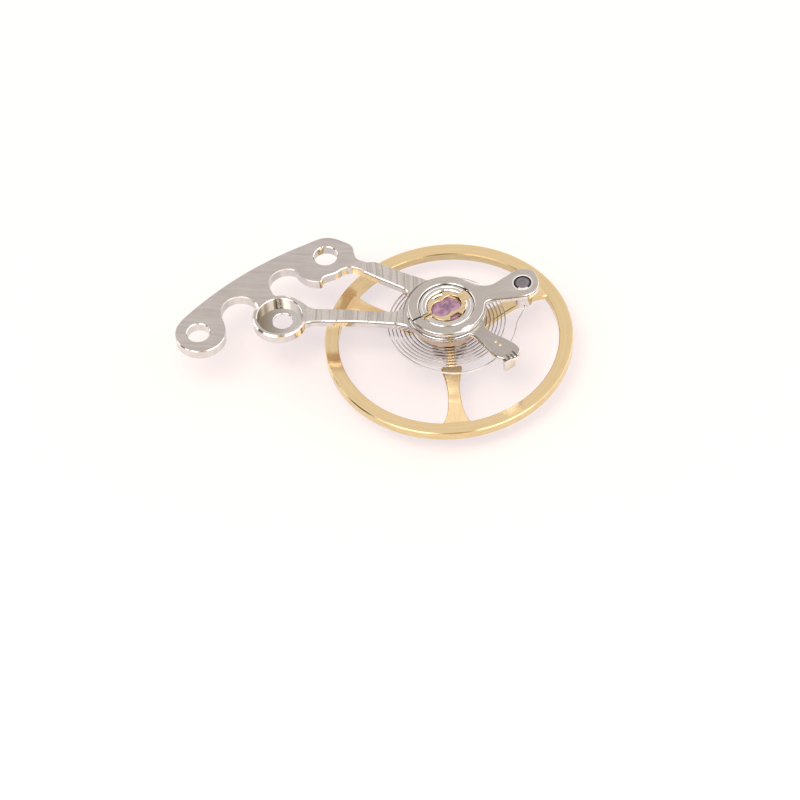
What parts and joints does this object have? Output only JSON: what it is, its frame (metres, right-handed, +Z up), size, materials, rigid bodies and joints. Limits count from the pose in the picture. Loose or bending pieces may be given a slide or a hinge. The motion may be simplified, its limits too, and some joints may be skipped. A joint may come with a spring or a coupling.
{
  "type": "balance wheel assembly",
  "caption": "Watch balance with hairspring under a two-armed balance bridge, with sprung upper jewel, regulator lever and stud holder.",
  "frame": {"origin": "tip of the lower pivot, on the axis of the balance staff", "axes": "+Z up the staff towards the upper jewel, -X from the staff towards the bridge's foot, +Y towards the side of the bridge's upper lobe"},
  "size_m": [0.0159, 0.01, 0.0037],
  "materials": {
    "bridge_nickel": "satin nickel with straight milling marks and bright chamfered edges",
    "lever_steel": "fine satin with bright edges",
    "block_steel": "turned and polished",
    "stud_steel": "polished, dark",
    "staff_steel": "burnished",
    "spring_alloy": "polished strip",
    "wheel_gilt": "pale gold, satin top and bright chamfers",
    "gilt_brass": "gilt",
    "gilt_spring": "polished gilt",
    "ruby": "polished synthetic ruby",
    "cap_ruby": "polished pink-violet synthetic ruby",
    "cement": "hardened shellac"
  },
  "bodies": {
    "bridge": {"balance_bridge": "bridge_nickel", "shock_block": "block_steel"},
    "jewel_spring": {"shock_spring": "gilt_spring"},
    "jewel_setting": {"jewel_chaton": "gilt_brass", "hole_jewel": "ruby", "cap_jewel": "cap_ruby"},
    "regulator": {"regulator": "lever_steel", "curb_pin_inner": "gilt_brass", "curb_pin_outer": "gilt_brass"},
    "stud_holder": {"stud_holder": "lever_steel", "hairspring_stud": "stud_steel", "stud_cement": "cement"},
    "balance": {"hairspring": "spring_alloy", "hairspring_collet": "gilt_brass", "balance_staff": "staff_steel", "balance_wheel": "wheel_gilt", "roller_table": "staff_steel", "roller_cement": "cement", "safety_roller": "staff_steel", "impulse_jewel": "ruby"}
  },
  "joints": [
    {"name": "regulator_turn", "type": "hinge", "parent": "bridge", "child": "regulator", "pos_m": [0, 0, 0.00334], "axis": [0, 0, 1], "range_deg": [-18, 18]},
    {"name": "stud_holder_turn", "type": "hinge", "parent": "bridge", "child": "stud_holder", "pos_m": [0, 0, 0.00358], "axis": [0, 0, 1], "range_deg": [-12, 12]},
    {"name": "balance_swing", "type": "hinge", "parent": "stud_holder", "child": "balance", "pos_m": [0, 0, 0], "axis": [0, 0, 1], "range_deg": [-300, 300], "stiffness_Nm_per_rad": 0.00000044, "deforming": ["hairspring"]},
    {"name": "jewel_setting_travel", "type": "slide", "parent": "bridge", "child": "jewel_setting", "axis": [0, 0, 1], "range_m": [0, 0.00004], "stiffness_N_per_m": 30},
    {"name": "jewel_spring_lift", "type": "hinge", "parent": "bridge", "child": "jewel_spring", "pos_m": [0.00089, 0.00052, 0.00363], "axis": [-0.5, 0.866, 0], "range_deg": [0, 105]}
  ]
}
